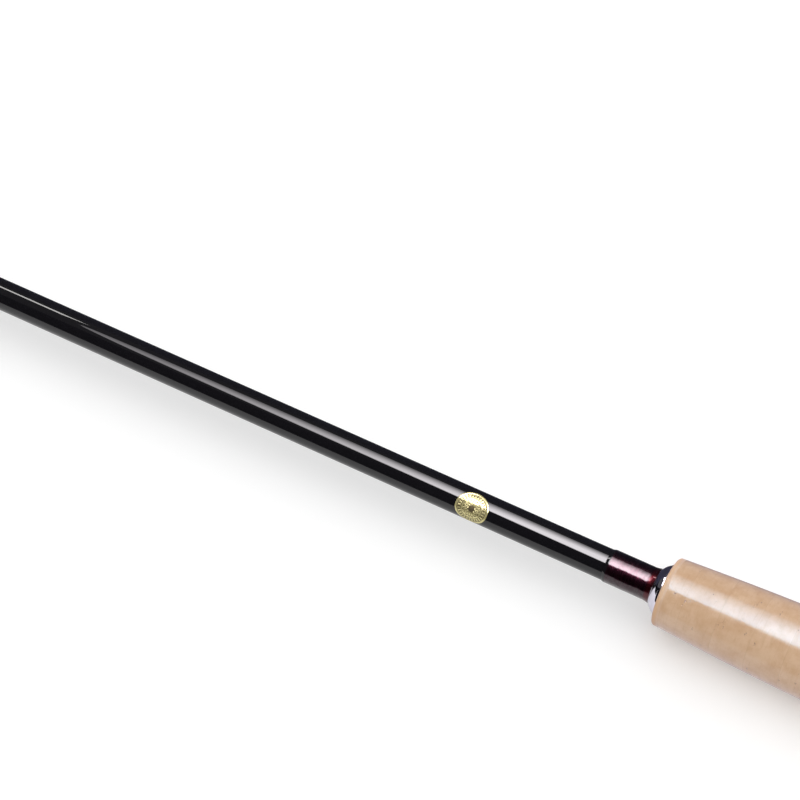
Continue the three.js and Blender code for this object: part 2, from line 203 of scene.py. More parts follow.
def grey(share):
    return (share, share, share, 1.0)


floor_size = 240
floor_drop = 0.05 * mm
paper_white = 0.8
paper_glow = 0.27

bpy.ops.object.select_all(action="DESELECT")
bpy.ops.mesh.primitive_plane_add(size=floor_size, location=(0, 0, -floor_drop))
floor = bpy.context.object
floor.name = "floor"
matt = {"Base Color": grey(paper_white), "Roughness": 1.0, "Specular IOR Level": 0.0}
paper, recipe = shaded("paper", {**matt, "Emission Strength": 1.0})
glow = recipe.mixed(recipe.seen(), grey(0.0), grey(paper_glow))
recipe.feed(recipe.shader, {"Emission Color": glow})
floor.data.materials.append(paper)

# Light: one broad soft lamp from above and a little behind, and a pale surround. A round softbox
# and a long one show only as highlights in lacquer, varnish and metal. Only these surfaces see the
# three cards too: a navy one behind the rod, and black ones in front of it and at its side.
lamp_angle = math.radians(110)
lamp_tilt = math.radians(-18)
lamp_strength = 2.3
surround_light = 0.2
front_fill = 0.6
horizon_top = 0.08
horizon_fade = 0.16
ceiling_light = 0.12

lamp_data = bpy.data.lights.new("broad_lamp", "SUN")
lamp_data.energy = lamp_strength
lamp_data.angle = lamp_angle
lamp = bpy.data.objects.new("broad_lamp", lamp_data)
lamp.rotation_euler = (lamp_tilt, 0, 0)
lamp.visible_glossy = False
bpy.context.scene.collection.objects.link(lamp)

world = bpy.data.worlds.new("studio")
bpy.context.scene.world = world
recipe = Recipe(world)
direction = recipe.node("TexCoord", {}, {}, "Generated")
height = recipe.part(direction, "Z")
front = (0 - recipe.part(direction, "Y")).most(0.0)
camera_ray = recipe.node("LightPath", {}, {}, "Is Camera Ray")
ceiling = height.rising(horizon_top, horizon_fade) * (1 - camera_ray)
background = recipe.mixed(ceiling, grey(1.0), grey(ceiling_light))
surround = recipe.mixed(front, grey(surround_light), grey(surround_light + front_fill))
shade = recipe.mixed(recipe.seen(), surround, background)
recipe.feed(recipe.nodes["Background"], {"Color": shade, "Strength": 1.0})

softbox_height = 1.5
softbox_radius = 1.08
softbox_facets = 128
softbox_centre = (0.12, 0.08)
hot_spot = (0.8, -0.5)
hot_radius = 1.15
dark_radius = 2.7
softbox_fade = 3
softbox_light = 18.0
softbox_slant = 0.5
softbox_front = (-0.84, -0.64)
softbox_white = colour(255, 250, 254)
strip_near = -1.02
strip_far = -1.7
strip_sides = (0.5, 0.8)
strip_light = 11.0
strip_white = colour(255, 252, 250)
card_left, card_right = -4.6, 0.9
back_card_place, back_card_top = 0.02, 0.038
front_card_place, front_card_top = -0.17, 0.32
end_card_place, end_card_rear, end_card_top = -0.6, 1.2, 0.13
card_black = colour(20, 20, 24)
card_navy = colour(84, 85, 102)


def unlit(stage_piece):
    """Only shiny surfaces see the piece."""
    stage_piece.visible_camera = False
    stage_piece.visible_diffuse = False
    stage_piece.visible_shadow = False


bpy.ops.object.select_all(action="DESELECT")
bpy.ops.mesh.primitive_circle_add(
    vertices=softbox_facets,
    radius=softbox_radius,
    fill_type="NGON",
    location=(*softbox_centre, softbox_height),
)
softbox = bpy.context.object
softbox.name = "softbox"
unlit_black = {"Base Color": grey(0.0), "Specular IOR Level": 0.0}
cloth, recipe = shaded("softbox_cloth", {**unlit_black, "Emission Strength": softbox_light})
place = recipe.node("TexCoord", {}, {}, "Object")
x = recipe.part(place, "X") + softbox_centre[0]
y = recipe.part(place, "Y") + softbox_centre[1]
reach = (abs(x - hot_spot[0]) ** 2 + abs(y - hot_spot[1]) ** 2) ** 0.5
level = ((dark_radius - reach) / (dark_radius - hot_radius)).most(0.0).least(1.0) ** softbox_fade
level = level * (y + softbox_slant * x).rising(*softbox_front)
recipe.feed(recipe.shader, {"Emission Color": recipe.mixed(level, grey(0.0), softbox_white)})
softbox.data.materials.append(cloth)
unlit(softbox)

bpy.ops.object.select_all(action="DESELECT")
middle = ((strip_near + strip_far) / 2, sum(strip_sides) / 2, softbox_height)
bpy.ops.mesh.primitive_plane_add(size=1, location=middle)
strip = bpy.context.object
strip.name = "strip_light"
strip.scale = (strip_near - strip_far, strip_sides[1] - strip_sides[0], 1)
strip_glow = {"Emission Color": strip_white, "Emission Strength": strip_light}
strip.data.materials.append(shaded("strip_cloth", {**unlit_black, **strip_glow})[0])
unlit(strip)

black_board = shaded("black_card", {"Base Color": card_black, "Specular IOR Level": 0.0})[0]
navy_board = shaded("navy_card", {"Base Color": card_navy, "Specular IOR Level": 0.0})[0]
back_card = ((card_left, back_card_place), (card_right, back_card_place))
front_card = ((card_left, front_card_place), (card_right, front_card_place))
end_card = ((end_card_place, front_card_place), (end_card_place, end_card_rear))
cards = (
    ("back_card", back_card, back_card_top, navy_board),
    ("front_card", front_card, front_card_top, black_board),
    ("end_card", end_card, end_card_top, black_board),
)
for name, (start, end), top, board in cards:
    bpy.ops.object.select_all(action="DESELECT")
    middle = ((start[0] + end[0]) / 2, (start[1] + end[1]) / 2, top / 2)
    facing = math.atan2(end[1] - start[1], end[0] - start[0])
    bpy.ops.mesh.primitive_plane_add(size=1, location=middle, rotation=(math.pi / 2, 0, facing))
    card = bpy.context.object
    card.name = name
    card.scale = (math.dist(start, end), top, 1)
    card.data.materials.append(board)
    unlit(card)

# Handle blank: the outermost tube of carbon cloth, rolled on a mandrel and baked, then sprayed
# black and clear lacquered. It runs through the whole grip, and everything else is glued to it or
# slides in it.
nearly = 0.01 * mm
weld_distance = 0.001 * mm
same_way = 1 - 1e-6
digits = 6
bevel_limit = math.radians(25)
blank_facets = 160
blank_edge = 0.12 * mm
lacquer_black = colour(20, 19, 22)
lacquer_dust = colour(27, 26, 30)


def outline_of(node):
    """The outline that a solid was turned from: its corners (place along the rod, radius) in order,
    and whether they close to a ring. They are read along one half of a plane through the axis."""
    spots = []
    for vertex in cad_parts[node].data.vertices:
        across = Vector((vertex.co.y, vertex.co.z - axis_height))
        spots.append((round(vertex.co.x, digits), round(across.length, digits), across))
    widest = max(spots, key=lambda spot: spot[1])[2].normalized()

    def in_plane(spot):
        return spot[1] < nearly or spot[2].normalized().dot(widest) > same_way

    neighbours = {}
    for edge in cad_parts[node].data.edges:
        first, second = (spots[index] for index in edge.vertices)
        if in_plane(first) and in_plane(second) and first[:2] != second[:2]:
            neighbours.setdefault(first[:2], set()).add(second[:2])
            neighbours.setdefault(second[:2], set()).add(first[:2])
    ends = [corner for corner in neighbours if len(neighbours[corner]) == 1 or corner[1] < nearly]
    corner = max(ends or neighbours)
    outline = [corner]
    while True:
        ahead = [c for c in sorted(neighbours[corner], reverse=True) if c not in outline]
        if not ahead:
            return outline, not ends
        corner = ahead[0]
        outline.append(corner)


def turned(name, outline, ring, facets):
    """A piece turned about the rod's axis: a circle is extruded along the outline and scaled at
    each corner. A ring closes on its first circle, and any other piece gets flat ends."""
    outline = [corner for corner in outline if corner[1] > nearly]
    place, radius = outline[0]
    bpy.ops.object.select_all(action="DESELECT")
    bpy.ops.mesh.primitive_circle_add(
        vertices=facets,
        radius=radius,
        location=(place, 0, axis_height),
        rotation=(0, math.pi / 2, 0),
    )
    bpy.ops.object.transform_apply(location=True, rotation=True, scale=True)
    made = bpy.context.object
    made.name = name
    bpy.ops.object.mode_set(mode="EDIT")
    bpy.ops.mesh.select_all(action="SELECT")
    for next_place, next_radius in outline[1:] + outline[:1] * ring:
        travel = (next_place - place, 0, 0)
        bpy.ops.mesh.extrude_region_move(TRANSFORM_OT_translate={"value": travel})
        growth = next_radius / radius
        centre = (next_place, 0, axis_height)
        bpy.ops.transform.resize(value=(1, growth, growth), center_override=centre)
        place, radius = next_place, next_radius
    bpy.ops.mesh.select_all(action="SELECT")
    bpy.ops.mesh.remove_doubles(threshold=weld_distance)
    if not ring:
        bpy.ops.mesh.select_all(action="DESELECT")
        bpy.ops.mesh.select_non_manifold()
        bpy.ops.mesh.fill_holes(sides=0)
        bpy.ops.mesh.select_all(action="SELECT")
    bpy.ops.mesh.normals_make_consistent(inside=False)
    bpy.ops.object.mode_set(mode="OBJECT")
    return made


def reshaped(piece, rule):
    """Moves each vertex away from the rod's axis or nearer. The rule gives its new radius from its
    place along the rod, its radius and its angle round the axis."""
    for vertex in piece.data.vertices:
        y, z = vertex.co.y, vertex.co.z - axis_height
        radius = math.hypot(y, z)
        if radius > nearly:
            growth = rule(vertex.co.x, radius, math.atan2(z, y)) / radius
            vertex.co.y = y * growth
            vertex.co.z = axis_height + z * growth


def smoothed(piece, degrees=38):
    bpy.ops.object.select_all(action="DESELECT")
    piece.select_set(True)
    bpy.context.view_layer.objects.active = piece
    bpy.ops.object.shade_smooth_by_angle(angle=math.radians(degrees))


def bevelled(piece, width, segments=2):
    """Rounds the piece's sharp edges and smooths what is left between them."""
    bevel = piece.modifiers.new("bevel", "BEVEL")
    bevel.width = width
    bevel.segments = segments
    bevel.limit_method = "ANGLE"
    bevel.angle_limit = bevel_limit
    bpy.context.view_layer.objects.active = piece
    bpy.ops.object.modifier_apply(modifier=bevel.name)
    smoothed(piece)


def dressed(piece, material, body, slot, *nodes):
    piece.data.materials.clear()
    piece.data.materials.append(material)
    if nodes:
        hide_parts(*nodes)
    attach(piece, body)


def finish(name, sockets):
    """A material with these constant values, and its recipe with the places on the rod that the
    rest may vary by: the point, its distances from the axis and its angle round it."""
    material, recipe = shaded(name, sockets)
    recipe.place = recipe.node("TexCoord", {}, {}, "Object")
    recipe.x = recipe.part(recipe.place, "X")
    recipe.y = recipe.part(recipe.place, "Y")
    recipe.z = recipe.part(recipe.place, "Z") - axis_height
    recipe.angle = recipe.z.math("ARCTAN2", recipe.z, recipe.y)
    return material, recipe


blank_outline, ring = outline_of("handle_blank")
blank = turned("lacquered_blank", blank_outline, ring, blank_facets)
bevelled(blank, blank_edge)
deep_coat = {"Coat Weight": 1.0, "Coat Roughness": 0.02, "Coat IOR": 1.5}
glossy_coat = {**deep_coat, "Specular IOR Level": 0.0}
black_lacquer, recipe = finish("black_lacquer", glossy_coat)
flow = recipe.noise(recipe.place, scale=60.0, detail=1.0)
dust = recipe.noise(recipe.place, scale=1800.0, detail=1.0)
recipe.feed(
    recipe.shader,
    {
        "Base Color": recipe.mixed(dust.rising(0.5, 0.85), lacquer_black, lacquer_dust),
        "Roughness": 0.35 + 0.1 * dust,
        "Normal": recipe.bump(flow, distance=0.01 * mm),
    },
)
dressed(blank, black_lacquer, "handle", "carbon", "handle_blank")

# Windings: dark red thread wound tight round the blank and drowned in clear lacquer, one in front
# of the check and one round the mouth. Past the thread the lacquer runs out on the blank in a
# shoulder.
winding_facets = 160
thread_pitch = 0.2 * mm
winding_thickness = 0.36 * mm
winding_toe = 0.08 * mm
shoulder_length = 0.9 * mm
shoulder_fall = 1.15
shoulder_steps = 12
fillet_height = 0.47 * mm
fillet_length = 2.6 * mm
fillet_curve = 1.8
thread_glue = 0.05 * mm
wave_rings = 48
wave_height = 0.03 * mm
wave_along = 420
wave_round = 3.0
wave_fineness = 1.0
wave_step = 2.6
wave_sizes = 3
thread_start = 0.9 * mm
thread_full = 1.5 * mm
mouth_thread_fade = 0.4 * mm
fillet_red_start = 2.4 * mm
fillet_red_full = 1.4 * mm
dark_red = (0.018, 0.0055, 0.0095, 1.0)
warm_red = (0.03, 0.0075, 0.014, 1.0)
bright_red = (0.065, 0.007, 0.011, 1.0)


def over_blank(x, height):
    """A corner at this height over the blank's tapered outside."""
    butt = max(blank_outline, key=lambda corner: corner[1])
    mouth = max((corner for corner in blank_outline if corner[0] < 0), key=lambda corner: corner[1])
    share = (x - butt[0]) / (mouth[0] - butt[0])
    return (x, butt[1] + (mouth[1] - butt[1]) * share + height)


def shoulder(end, run):
    """Corners from where the lacquer ends, nearly nothing thick, to its full thickness."""
    corners = []
    for step in range(shoulder_steps + 1):
        share = step / shoulder_steps
        rise = 1 - (1 - share) ** shoulder_fall
        thickness = winding_toe + (winding_thickness - winding_toe) * rise
        corners.append(over_blank(end + run * share, thickness))
    return corners


def flowed(x, radius, angle):
    """The lacquer's outside, uneven as the brush left it. Nothing else is moved."""
    over = radius - over_blank(x, 0)[1]
    share = min(1, max(0, over - winding_toe - thread_glue) / (winding_thickness - winding_toe))
    spot = Vector((x * wave_along, angle * wave_round, math.cos(angle)))
    return radius + wave_height * share * noise.fractal(spot, wave_fineness, wave_step, wave_sizes)


def wrapped_noise(recipe, along, around, detail):
    """Noise at one scale along the rod and another round it, by the angle."""
    spot = recipe.vector(recipe.x * along, recipe.angle * around, 0.0)
    return recipe.noise(spot, scale=1.0, detail=detail)


winding_low, winding_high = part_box("grip_winding")
outline = shoulder(winding_low.x, shoulder_length)
straight = (outline[-1][0], winding_high.x - fillet_length)
for step in range(1, wave_rings):
    x = straight[0] + (straight[1] - straight[0]) * step / wave_rings
    outline.append(over_blank(x, winding_thickness))
for step in range(shoulder_steps + 1):
    share = step / shoulder_steps
    x = winding_high.x - fillet_length * (1 - share)
    outline.append(over_blank(x, winding_thickness + fillet_height * share**fillet_curve))
outline += [over_blank(winding_high.x, thread_glue), over_blank(winding_low.x, thread_glue)]
winding = turned("lacquered_grip_winding", outline, True, winding_facets)
reshaped(winding, flowed)
smoothed(winding)

mouth_low, mouth_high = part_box("mouth_winding")
outline = shoulder(mouth_low.x, shoulder_length) + shoulder(mouth_high.x, -shoulder_length)[::-1]
outline += [over_blank(mouth_high.x, thread_glue), over_blank(mouth_low.x, thread_glue)]
mouth_winding = turned("lacquered_mouth_winding", outline, True, winding_facets)
smoothed(mouth_winding)

wound_thread, recipe = finish("wound_thread", glossy_coat)
turns = ((recipe.x / thread_pitch) * math.tau + recipe.angle).sine()
tone = wrapped_noise(recipe, along=1400, around=1.5, detail=3.0)
sag = wrapped_noise(recipe, along=700, around=2.6, detail=2.0)
brushed = wrapped_noise(recipe, along=2600, around=5, detail=2.0)
grip_thread = recipe.x.rising(winding_low.x + thread_start, winding_low.x + thread_full)
mouth_thread_ends = (mouth_low.x + thread_start, mouth_high.x - thread_start)
mouth_thread = recipe.x.band(*mouth_thread_ends, mouth_thread_fade)
thread = (grip_thread + mouth_thread).least(1.0)
fillet = recipe.x.rising(winding_high.x - fillet_red_start, winding_high.x - fillet_red_full)
red = recipe.mixed(fillet, recipe.mixed(tone.rising(0.3, 0.7), dark_red, warm_red), bright_red)
recipe.feed(
    recipe.shader,
    {
        "Base Color": recipe.mixed(thread, lacquer_black, red),
        "Metallic": thread * 0.95,
        "Coat Weight": 1.0 - thread * (0.2 * sag.rising(0.45, 0.65) + 0.4 * fillet),
        "Roughness": 0.26 + 0.03 * turns,
        "Normal": recipe.bump(sag + 0.2 * brushed + 0.02 * turns, distance=0.06 * mm),
    },
)
dressed(winding, wound_thread, "handle", "winding", "grip_winding")
dressed(mouth_winding, wound_thread, "handle", "winding", "mouth_winding")

# Winding check: a spun brass ring, chrome plated and polished, pushed up against the cork. Its
# steep face leads from the winding up to the grip, and ends in a small rounded lip.
check_facets = 160
check_smooth_angle = 30
check_nose = 0.1 * mm
check_lip_round = 0.75 * mm
check_lip_back = 0.05 * mm
lip_steps = 8
chrome_dark = colour(204, 200, 212)
chrome_light = colour(220, 216, 228)

corners, ring = outline_of("winding_check")
check_low, check_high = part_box("winding_check")
foot_radius = max(corner[1] for corner in corners)
bore_radius = min(corner[1] for corner in corners)
nose_radius = max(corner[1] for corner in corners if corner[0] < check_low.x + check_nose)
lip_radius = foot_radius - check_lip_round / 2
outline = sorted(corner for corner in corners if nose_radius <= corner[1] < lip_radius)
start, end = outline[-1], (check_high.x - check_lip_back, foot_radius)
for step in range(lip_steps + 1):
    bend = math.pi / 2 * step / lip_steps
    x = start[0] + (end[0] - start[0]) * (1 - math.cos(bend))
    outline.append((x, start[1] + (end[1] - start[1]) * math.sin(bend)))
outline += [(check_high.x, foot_radius), (check_high.x, bore_radius), (check_low.x, bore_radius)]
check = turned("plated_check", outline, ring, check_facets)
smoothed(check, check_smooth_angle)
chrome, recipe = finish("polished_chrome", {"Metallic": 1.0})
spun = wrapped_noise(recipe, along=3000, around=0.3, detail=3.0)
recipe.feed(
    recipe.shader,
    {
        "Base Color": recipe.mixed(spun, chrome_dark, chrome_light),
        "Roughness": 0.05 + 0.05 * spun,
    },
)
dressed(check, chrome, "handle", "chrome", "winding_check")

# Grip: rings punched from cork bark, glued face to face on the blank, turned to shape as one and
# sealed with clear varnish. The very front rim is left bare, and the glue shows as hairlines.
cork_facets = 160
cork_smooth_angle = 50
cad_facets = 32
grip_front_edge = 0.8 * mm
grip_rear_edge = 1.8 * mm
edge_steps = 6
ring_steps = 8
joint_width = 0.12 * mm
joint_depth = 0.01 * mm
end_reach = 0.05 * mm
bore_limit = 7.5 * mm
bare_rim = 1.3 * mm
rim_fade = 0.3 * mm
varnish_start = 2.6 * mm
varnish_fade = 0.35 * mm
varnish_wander = 0.5 * mm
cell_scales = (520, 300, 300)
crack_scales = (500, 240, 240)
light_tones = (colour(219, 185, 152), colour(215, 180, 146))
dark_tones = (colour(207, 169, 133), colour(203, 163, 127))
fibre_brown = colour(188, 143, 105)
pit_brown = colour(136, 94, 68)
glue_brown = colour(120, 84, 60)
bare_cork = colour(216, 168, 116)
ring_count = 21
tone_seed = 4
cork_tones = random.Random(tone_seed)


def smooth_between(points, x):
    """A smooth curve through points (x, y). Its slope at each is that between its neighbours."""
    index = max(i for i in range(len(points) - 1) if points[i][0] <= x or i == 0)
    (x0, y0), (x1, y1) = points[index : index + 2]
    before = points[max(index - 1, 0)]
    after = points[min(index + 2, len(points) - 1)]
    slope_0 = (y1 - before[1]) / (x1 - before[0])
    slope_1 = (after[1] - y0) / (after[0] - x0)
    share = (x - x0) / (x1 - x0)
    rest = 1 - share
    run = x1 - x0
    ends = y0 * (1 + 2 * share) * rest**2 + y1 * (3 - 2 * share) * share**2
    return ends + run * (slope_0 * share * rest**2 - slope_1 * rest * share**2)


def eased_corner(start, end, first_along):
    """Corners of a quarter turn between two corners, setting off along the rod or across it."""
    corners = []
    for step in range(edge_steps + 1):
        bend = math.pi / 2 * step / edge_steps
        far, near = math.sin(bend), 1 - math.cos(bend)
        along, across = (far, near) if first_along else (near, far)
        x = start[0] + (end[0] - start[0]) * along
        corners.append((x, start[1] + (end[1] - start[1]) * across))
    return corners


cork_outlines = {}
grip_curve = []
roundness = math.cos(math.pi / cad_facets)
for number in range(1, ring_count + 1):
    node = f"cork_ring_{number:02}"
    low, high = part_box(node)
    corners, ring = outline_of(node)
    front = low.x + grip_front_edge * (number == 1)
    rear = high.x - grip_rear_edge * (number == ring_count)
    for x in (front, rear):
        outside = max(c[1] for c in corners if abs(c[0] - x) < end_reach) * roundness
        if x == front or number == ring_count:
            grip_curve.append((x, outside))
    inside = [c for c in corners if c[1] < bore_limit]
    cork_outlines[node] = (front, rear, low.x, high.x, inside)

cool_gloss = {"IOR": 1.5, "Specular IOR Level": 0.44, "Specular Tint": colour(158, 220, 255)}
cool_sheen = {"Sheen Weight": 0.45, "Sheen Roughness": 0.5, "Sheen Tint": colour(196, 196, 236)}
cork, recipe = finish("sealed_cork", {**cool_gloss, **cool_sheen})
tone = recipe.node("Attribute", {"attribute_name": "tone"}, {}, "Fac")
joint = recipe.node("Attribute", {"attribute_name": "joint"}, {}, "Fac")
own = recipe.node("VectorMath", {}, {0: recipe.place, 1: recipe.vector(0.0, tone, tone * 3.0)})
own_x = recipe.part(own, "X")
own_z = recipe.part(own, "Z")
mottle = recipe.noise(own, scale=170.0, detail=4.0, roughness=0.6)
grain = recipe.noise(own, scale=1500.0, detail=3.0, roughness=0.6)
streak_place = recipe.vector(own_x * 1100, recipe.angle * 2.6 + tone * 40, own_z * 60)
streaks = recipe.noise(streak_place, scale=1.0)
cell_sockets = {"Vector": recipe.stretched(own, cell_scales), "Scale": 1.0}
cells = recipe.node("TexVoronoi", {}, cell_sockets, "Distance")
chosen = recipe.part(recipe.node("TexVoronoi", {}, cell_sockets, "Color"), "X")
ragged = cells + 0.7 * (recipe.noise(own, scale=2200.0) - 0.5)
specks = ragged.rising(0.2, 0.06) * chosen.rising(0.78, 0.82)
crack_noise = recipe.noise(recipe.stretched(own, crack_scales), scale=1.0)
cracked = recipe.noise(own, scale=110.0, detail=1.0).rising(0.6, 0.68)
cracks = abs(crack_noise - 0.5).rising(0.012, 0.004) * cracked
brush_place = recipe.vector(own_x * 700, recipe.angle * 14, tone * 9)
brushed = recipe.noise(brush_place, scale=1.0, detail=3.0, roughness=0.6)
wandering = recipe.x + varnish_wander * brushed
varnish_x = grip_low.x + varnish_start
bare = wandering.rising(varnish_x, varnish_x - varnish_fade)
rim = recipe.x.rising(grip_low.x + bare_rim + rim_fade, grip_low.x + bare_rim)
light_cork = recipe.mixed(tone, *light_tones)
dark_cork = recipe.mixed(tone, *dark_tones)
bark = recipe.mixed(mottle.rising(0.32, 0.7), light_cork, dark_cork)
fibres = streaks.rising(0.5, 0.8) * 0.25 + grain.rising(0.5, 0.8) * 0.2
lined = recipe.mixed(fibres, bark, fibre_brown)
pitted = recipe.mixed(specks * 0.7 + cracks * 0.3, lined, pit_brown)
glued = recipe.mixed(joint * 0.15, pitted, glue_brown)
pits = mottle * 0.4 + grain * 0.08 - specks * 0.4 - cracks * 0.2
recipe.feed(
    recipe.shader,
    {
        "Base Color": recipe.mixed(rim * 0.5, glued, bare_cork),
        "Roughness": 0.11 + 0.08 * brushed + 0.6 * bare + 0.3 * specks,
        "Normal": recipe.bump(pits, distance=0.1 * mm),
    },
)

for node, (front, rear, low_x, high_x, inside) in cork_outlines.items():
    radii = [smooth_between(grip_curve, x) for x in (front, rear)]
    if low_x < front:
        face = (low_x, radii[0] - grip_front_edge)
        outline = [(low_x, inside[0][1]), *eased_corner(face, (front, radii[0]), False)]
    else:
        outline = [(front, radii[0] - joint_depth)]
        for x in (front + joint_width, front + 2 * joint_width):
            outline.append((x, smooth_between(grip_curve, x)))
    for step in range(1, ring_steps):
        x = front + (rear - front) * step / ring_steps
        outline.append((x, smooth_between(grip_curve, x)))
    if high_x > rear:
        face = (high_x, radii[1] - grip_rear_edge)
        outline += eased_corner((rear, radii[1]), face, True)
    else:
        for x in (rear - 2 * joint_width, rear - joint_width):
            outline.append((x, smooth_between(grip_curve, x)))
        outline.append((rear, radii[1] - joint_depth))
    bore = sorted(inside, reverse=True)
    outline = [corner for corner in outline if corner[1] > bore_limit] + bore
    piece = turned(node.replace("cork", "turned_cork"), outline, True, cork_facets)
    smoothed(piece, cork_smooth_angle)
    glued_ends = [end for end, face_x in ((front, low_x), (rear, high_x)) if end == face_x]
    joints = []
    for vertex in piece.data.vertices:
        joints.append(float(any(abs(vertex.co.x - end) < weld_distance for end in glued_ends)))
    tones = [cork_tones.random()] * len(joints)
    for name, values in (("tone", tones), ("joint", joints)):
        piece.data.attributes.new(name, "FLOAT", "POINT").data.foreach_set("value", values)
    dressed(piece, cork, "handle", "cork", node)

# Butt ferrule: a socket turned from aluminium bar and anodised black, glued over the blank's rear
# end under the cork. Its flange closes the grip, and its thread takes the butt cap.
ferrule_facets = 160
ferrule_edge = 0.1 * mm
screw_pitch = 1.0 * mm
screw_depth = 0.5 * mm
screw_fade = 0.7 * mm
rings_per_turn = 8
anodised_dark = colour(38, 38, 42)
anodised_worn = colour(52, 52, 57)


def screw_dip(x, angle, start, end):
    """How far a right-hand thread lies under its crest. It fades out at both its ends."""
    phase = (x / screw_pitch - angle / math.tau) % 1
    fade = min(1, max(0, (x - start) / screw_fade), max(0, (end - x) / screw_fade))
    return screw_depth * fade * (1 - abs(2 * phase - 1))


def along(start, end):
    """Corners a fraction of a thread's turn apart, from one corner to the next along the rod."""
    count = math.ceil(abs(end[0] - start[0]) / screw_pitch * rings_per_turn)
    return [(start[0] + (end[0] - start[0]) * step / count, start[1]) for step in range(1, count)]


corners, ring = outline_of("butt_ferrule")
bore = min(corner[1] for corner in corners)
bore_ends = sorted(corner[0] for corner in corners if corner[1] < bore + nearly)
outline = []
for index, corner in enumerate(corners):
    outline.append(corner)
    following = corners[(index + 1) % len(corners)]
    if max(corner[1], following[1]) < bore + nearly:
        outline += along(corner, following)
ferrule = turned("turned_ferrule", outline, ring, ferrule_facets)
bevelled(ferrule, ferrule_edge)


def threaded_bore(x, radius, angle):
    if radius < bore + nearly and bore_ends[0] < x < bore_ends[1]:
        return radius - screw_dip(x, angle, *bore_ends)
    return radius


reshaped(ferrule, threaded_bore)
smoothed(ferrule)
satin_coat = {"Coat Weight": 0.25, "Coat Roughness": 0.25, "Coat IOR": 1.6}
anodised, recipe = finish("black_anodised", satin_coat)
reach = (recipe.y * recipe.y + recipe.z * recipe.z) ** 0.5
lathe = recipe.noise(recipe.vector(recipe.x * 9000, reach * 9000, 0.0), scale=1.0)
wear = recipe.noise(recipe.place, scale=900.0, detail=3.0)
recipe.feed(
    recipe.shader,
    {
        "Base Color": recipe.mixed(wear.rising(0.45, 0.75), anodised_dark, anodised_worn),
        "Metallic": 0.75 + 0.2 * wear,
        "Roughness": 0.27 + 0.1 * lathe,
        "Normal": recipe.bump(lathe, distance=0.006 * mm),
    },
)
dressed(ferrule, anodised, "handle", "anodised", "butt_ferrule")

# Sections: five more tapered tubes of carbon cloth, each with a thickened band at its mouth. They
# keep the faint screw-like ridges of the tape that they were baked in, under a thin coat of
# lacquer.
section_facets = 96
section_edge = 0.04 * mm
tape_pitch = 1.6 * mm
section_numbers = (6, 5, 4, 3, 2)
carbon_dark = colour(22, 22, 25)
carbon_light = colour(38, 38, 42)

thin_coat = {"Coat Weight": 0.8, "Coat Roughness": 0.08, "Coat IOR": 1.5}
rolled_carbon, recipe = finish("rolled_carbon", {**thin_coat, "Specular IOR Level": 0.2})
tape = ((recipe.x / tape_pitch) * math.tau - recipe.angle).sine()
weave = wrapped_noise(recipe, along=500, around=14, detail=3.0)
recipe.feed(
    recipe.shader,
    {
        "Base Color": recipe.mixed(weave.rising(0.35, 0.7), carbon_dark, carbon_light),
        "Roughness": 0.34 + 0.08 * weave,
        "Normal": recipe.bump(0.5 * tape + 0.2 * weave, distance=0.012 * mm),
    },
)
for number in section_numbers:
    node = f"section_{number}"
    outline, ring = outline_of(node)
    piece = turned(f"carbon_section_{number}", outline, ring, section_facets)
    bevelled(piece, section_edge)
    dressed(piece, rolled_carbon, node, "carbon", node)

# Tip section: the thinnest, a rod of solid carbon fibre, ground to a taper. It slides in the
# second section, and the lilian is glued over its end.
tip_facets = 48
outline, ring = outline_of("tip_section")
tip = turned("solid_tip", outline, ring, tip_facets)
bevelled(tip, section_edge)
dressed(tip, rolled_carbon, "tip_section", "carbon", "tip_section")

# Lilian: a short braid of eight red nylon strands, stiffened with glue and pulled over the tip.
# The line is tied on behind the knot at its end, which is made here as a trefoil.
strands_each_way = 4
braid_turn = 3.4 * mm
braid_middle = 0.515 * mm
braid_wave = 0.04 * mm
strand_radius = 0.095 * mm
strand_smooth_angle = 60
strand_resolution = 2
steps_per_turn = 32
knot_length = 2.4 * mm
knot_size = 0.2 * mm
knot_stretch = 1.4
knot_strand = 0.33 * mm
knot_steps = 90
nylon_dark = colour(148, 16, 30)
nylon_light = colour(204, 40, 52)

lilian_low, lilian_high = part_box("lilian")
knot_middle = lilian_low.x + knot_length / 2
braid_length = lilian_high.x - knot_middle


def laid(name, radius, paths, closed):
    """A piece of round strands, one along each path."""
    curve = bpy.data.curves.new(name, "CURVE")
    curve.dimensions = "3D"
    curve.bevel_depth = radius
    curve.bevel_resolution = strand_resolution
    curve.use_fill_caps = True
    for path in paths:
        spline = curve.splines.new("POLY")
        spline.points.add(len(path) - 1)
        spline.use_cyclic_u = closed
        for point, place in zip(spline.points, path):
            point.co = (*place, 1)
    strands = bpy.data.objects.new(name, curve)
    bpy.context.scene.collection.objects.link(strands)
    bpy.ops.object.select_all(action="DESELECT")
    strands.select_set(True)
    bpy.context.view_layer.objects.active = strands
    bpy.ops.object.convert(target="MESH")
    return bpy.context.object


